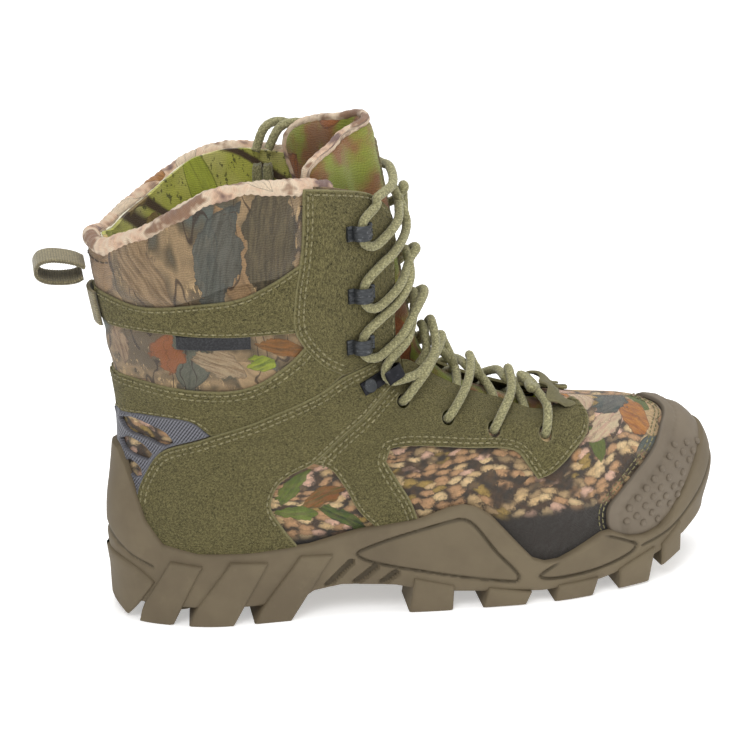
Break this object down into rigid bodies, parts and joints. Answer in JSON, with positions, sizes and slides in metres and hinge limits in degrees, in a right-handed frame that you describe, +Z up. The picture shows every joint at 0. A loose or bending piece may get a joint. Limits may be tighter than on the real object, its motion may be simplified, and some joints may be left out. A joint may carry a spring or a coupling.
{
  "type": "insulated hunting boot",
  "caption": "Tall lace-up insulated boot for the right foot: camouflage fabric upper, green suede overlays, rubber cup sole, padded collar and tongue.",
  "frame": {"origin": "middle of the bounding box on the ground plane that the tread stands on", "axes": "+X from heel to toe, -Y to the outer (lateral) side of this right boot, +Z up"},
  "size_m": [0.3364, 0.1106, 0.2397],
  "materials": {
    "sole_rubber": "matte moulded olive-brown rubber",
    "toe_rubber": "matte grey-brown rubber with small round bumps",
    "midsole_foam": "closed-cell foam",
    "padding_foam": "soft open-cell foam",
    "shank_steel": "plain spring steel",
    "fibre_board": "pressed fibre board",
    "footbed_felt": "dark felt over foam",
    "camouflage_fabric": "printed leaf-and-bark camouflage on a coarse plain weave",
    "tongue_fabric": "printed camouflage weave over padding",
    "collar_lining": "printed lime and brown lining cloth over thin insulation",
    "green_suede": "olive-green suede with lighter cut edges",
    "smooth_suede": "smoother olive suede",
    "heel_mesh": "dark ribbed mesh",
    "webbing": "ribbed olive webbing",
    "lace_cord": "round braided olive cord",
    "label_cloth": "plain dark woven tape",
    "loop_metal": "dark grey painted steel",
    "hook_metal": "black painted steel"
  },
  "bodies": {
    "boot": {"outsole": "sole_rubber", "midsole": "midsole_foam", "shank": "shank_steel", "lasting_board": "fibre_board", "vamp_fabric": "camouflage_fabric", "quarter_fabric_lateral": "camouflage_fabric", "quarter_fabric_medial": "camouflage_fabric", "ankle_fabric": "camouflage_fabric", "collar_fabric": "camouflage_fabric", "insulated_lining": "collar_lining", "collar_foam": "padding_foam", "heel_counter": "fibre_board", "toe_puff": "fibre_board", "collar_band": "green_suede", "ankle_band": "green_suede", "upper_lace_stay_lateral": "green_suede", "upper_lace_stay_medial": "green_suede", "heel_overlay_lateral": "green_suede", "heel_overlay_medial": "green_suede", "lower_lace_stay_lateral": "green_suede", "lower_lace_stay_medial": "green_suede", "throat_tab": "smooth_suede", "heel_mesh_cap": "heel_mesh", "toe_cap": "toe_rubber", "collar_piping": "collar_lining", "tongue_lower": "tongue_fabric", "tongue_strip": "webbing", "lace_hank": "lace_cord", "lace": "lace_cord", "pull_loop_base": "webbing", "side_label": "label_cloth", "lace_loop_lateral_1": "loop_metal", "lace_loop_lateral_2": "loop_metal", "lace_loop_lateral_3": "loop_metal", "lace_hook_lateral": "hook_metal", "hook_rivet_lateral": "loop_metal", "lace_loop_medial_1": "loop_metal", "lace_loop_medial_2": "loop_metal", "lace_loop_medial_3": "loop_metal", "lace_hook_medial": "hook_metal", "hook_rivet_medial": "loop_metal"},
    "tongue_top": {"tongue_top": "tongue_fabric"},
    "pull_loop": {"pull_loop": "webbing"},
    "footbed": {"footbed": "footbed_felt"}
  },
  "joints": [
    {"name": "tongue_fold", "type": "hinge", "parent": "boot", "child": "tongue_top", "pos_m": [0.00062, -0.00332, 0.218], "axis": [0, 1, 0], "range_deg": [0, 28], "stiffness_Nm_per_rad": 0.05},
    {"name": "pull_loop_hinge", "type": "hinge", "parent": "boot", "child": "pull_loop", "pos_m": [-0.14318, -0.00332, 0.174], "axis": [0, 1, 0], "range_deg": [-30, 35], "stiffness_Nm_per_rad": 0.01},
    {"name": "footbed_lift", "type": "hinge", "parent": "boot", "child": "footbed", "pos_m": [0.14962, 0.00468, 0.02842], "axis": [0, 1, 0], "range_deg": [0, 6.5]}
  ]
}
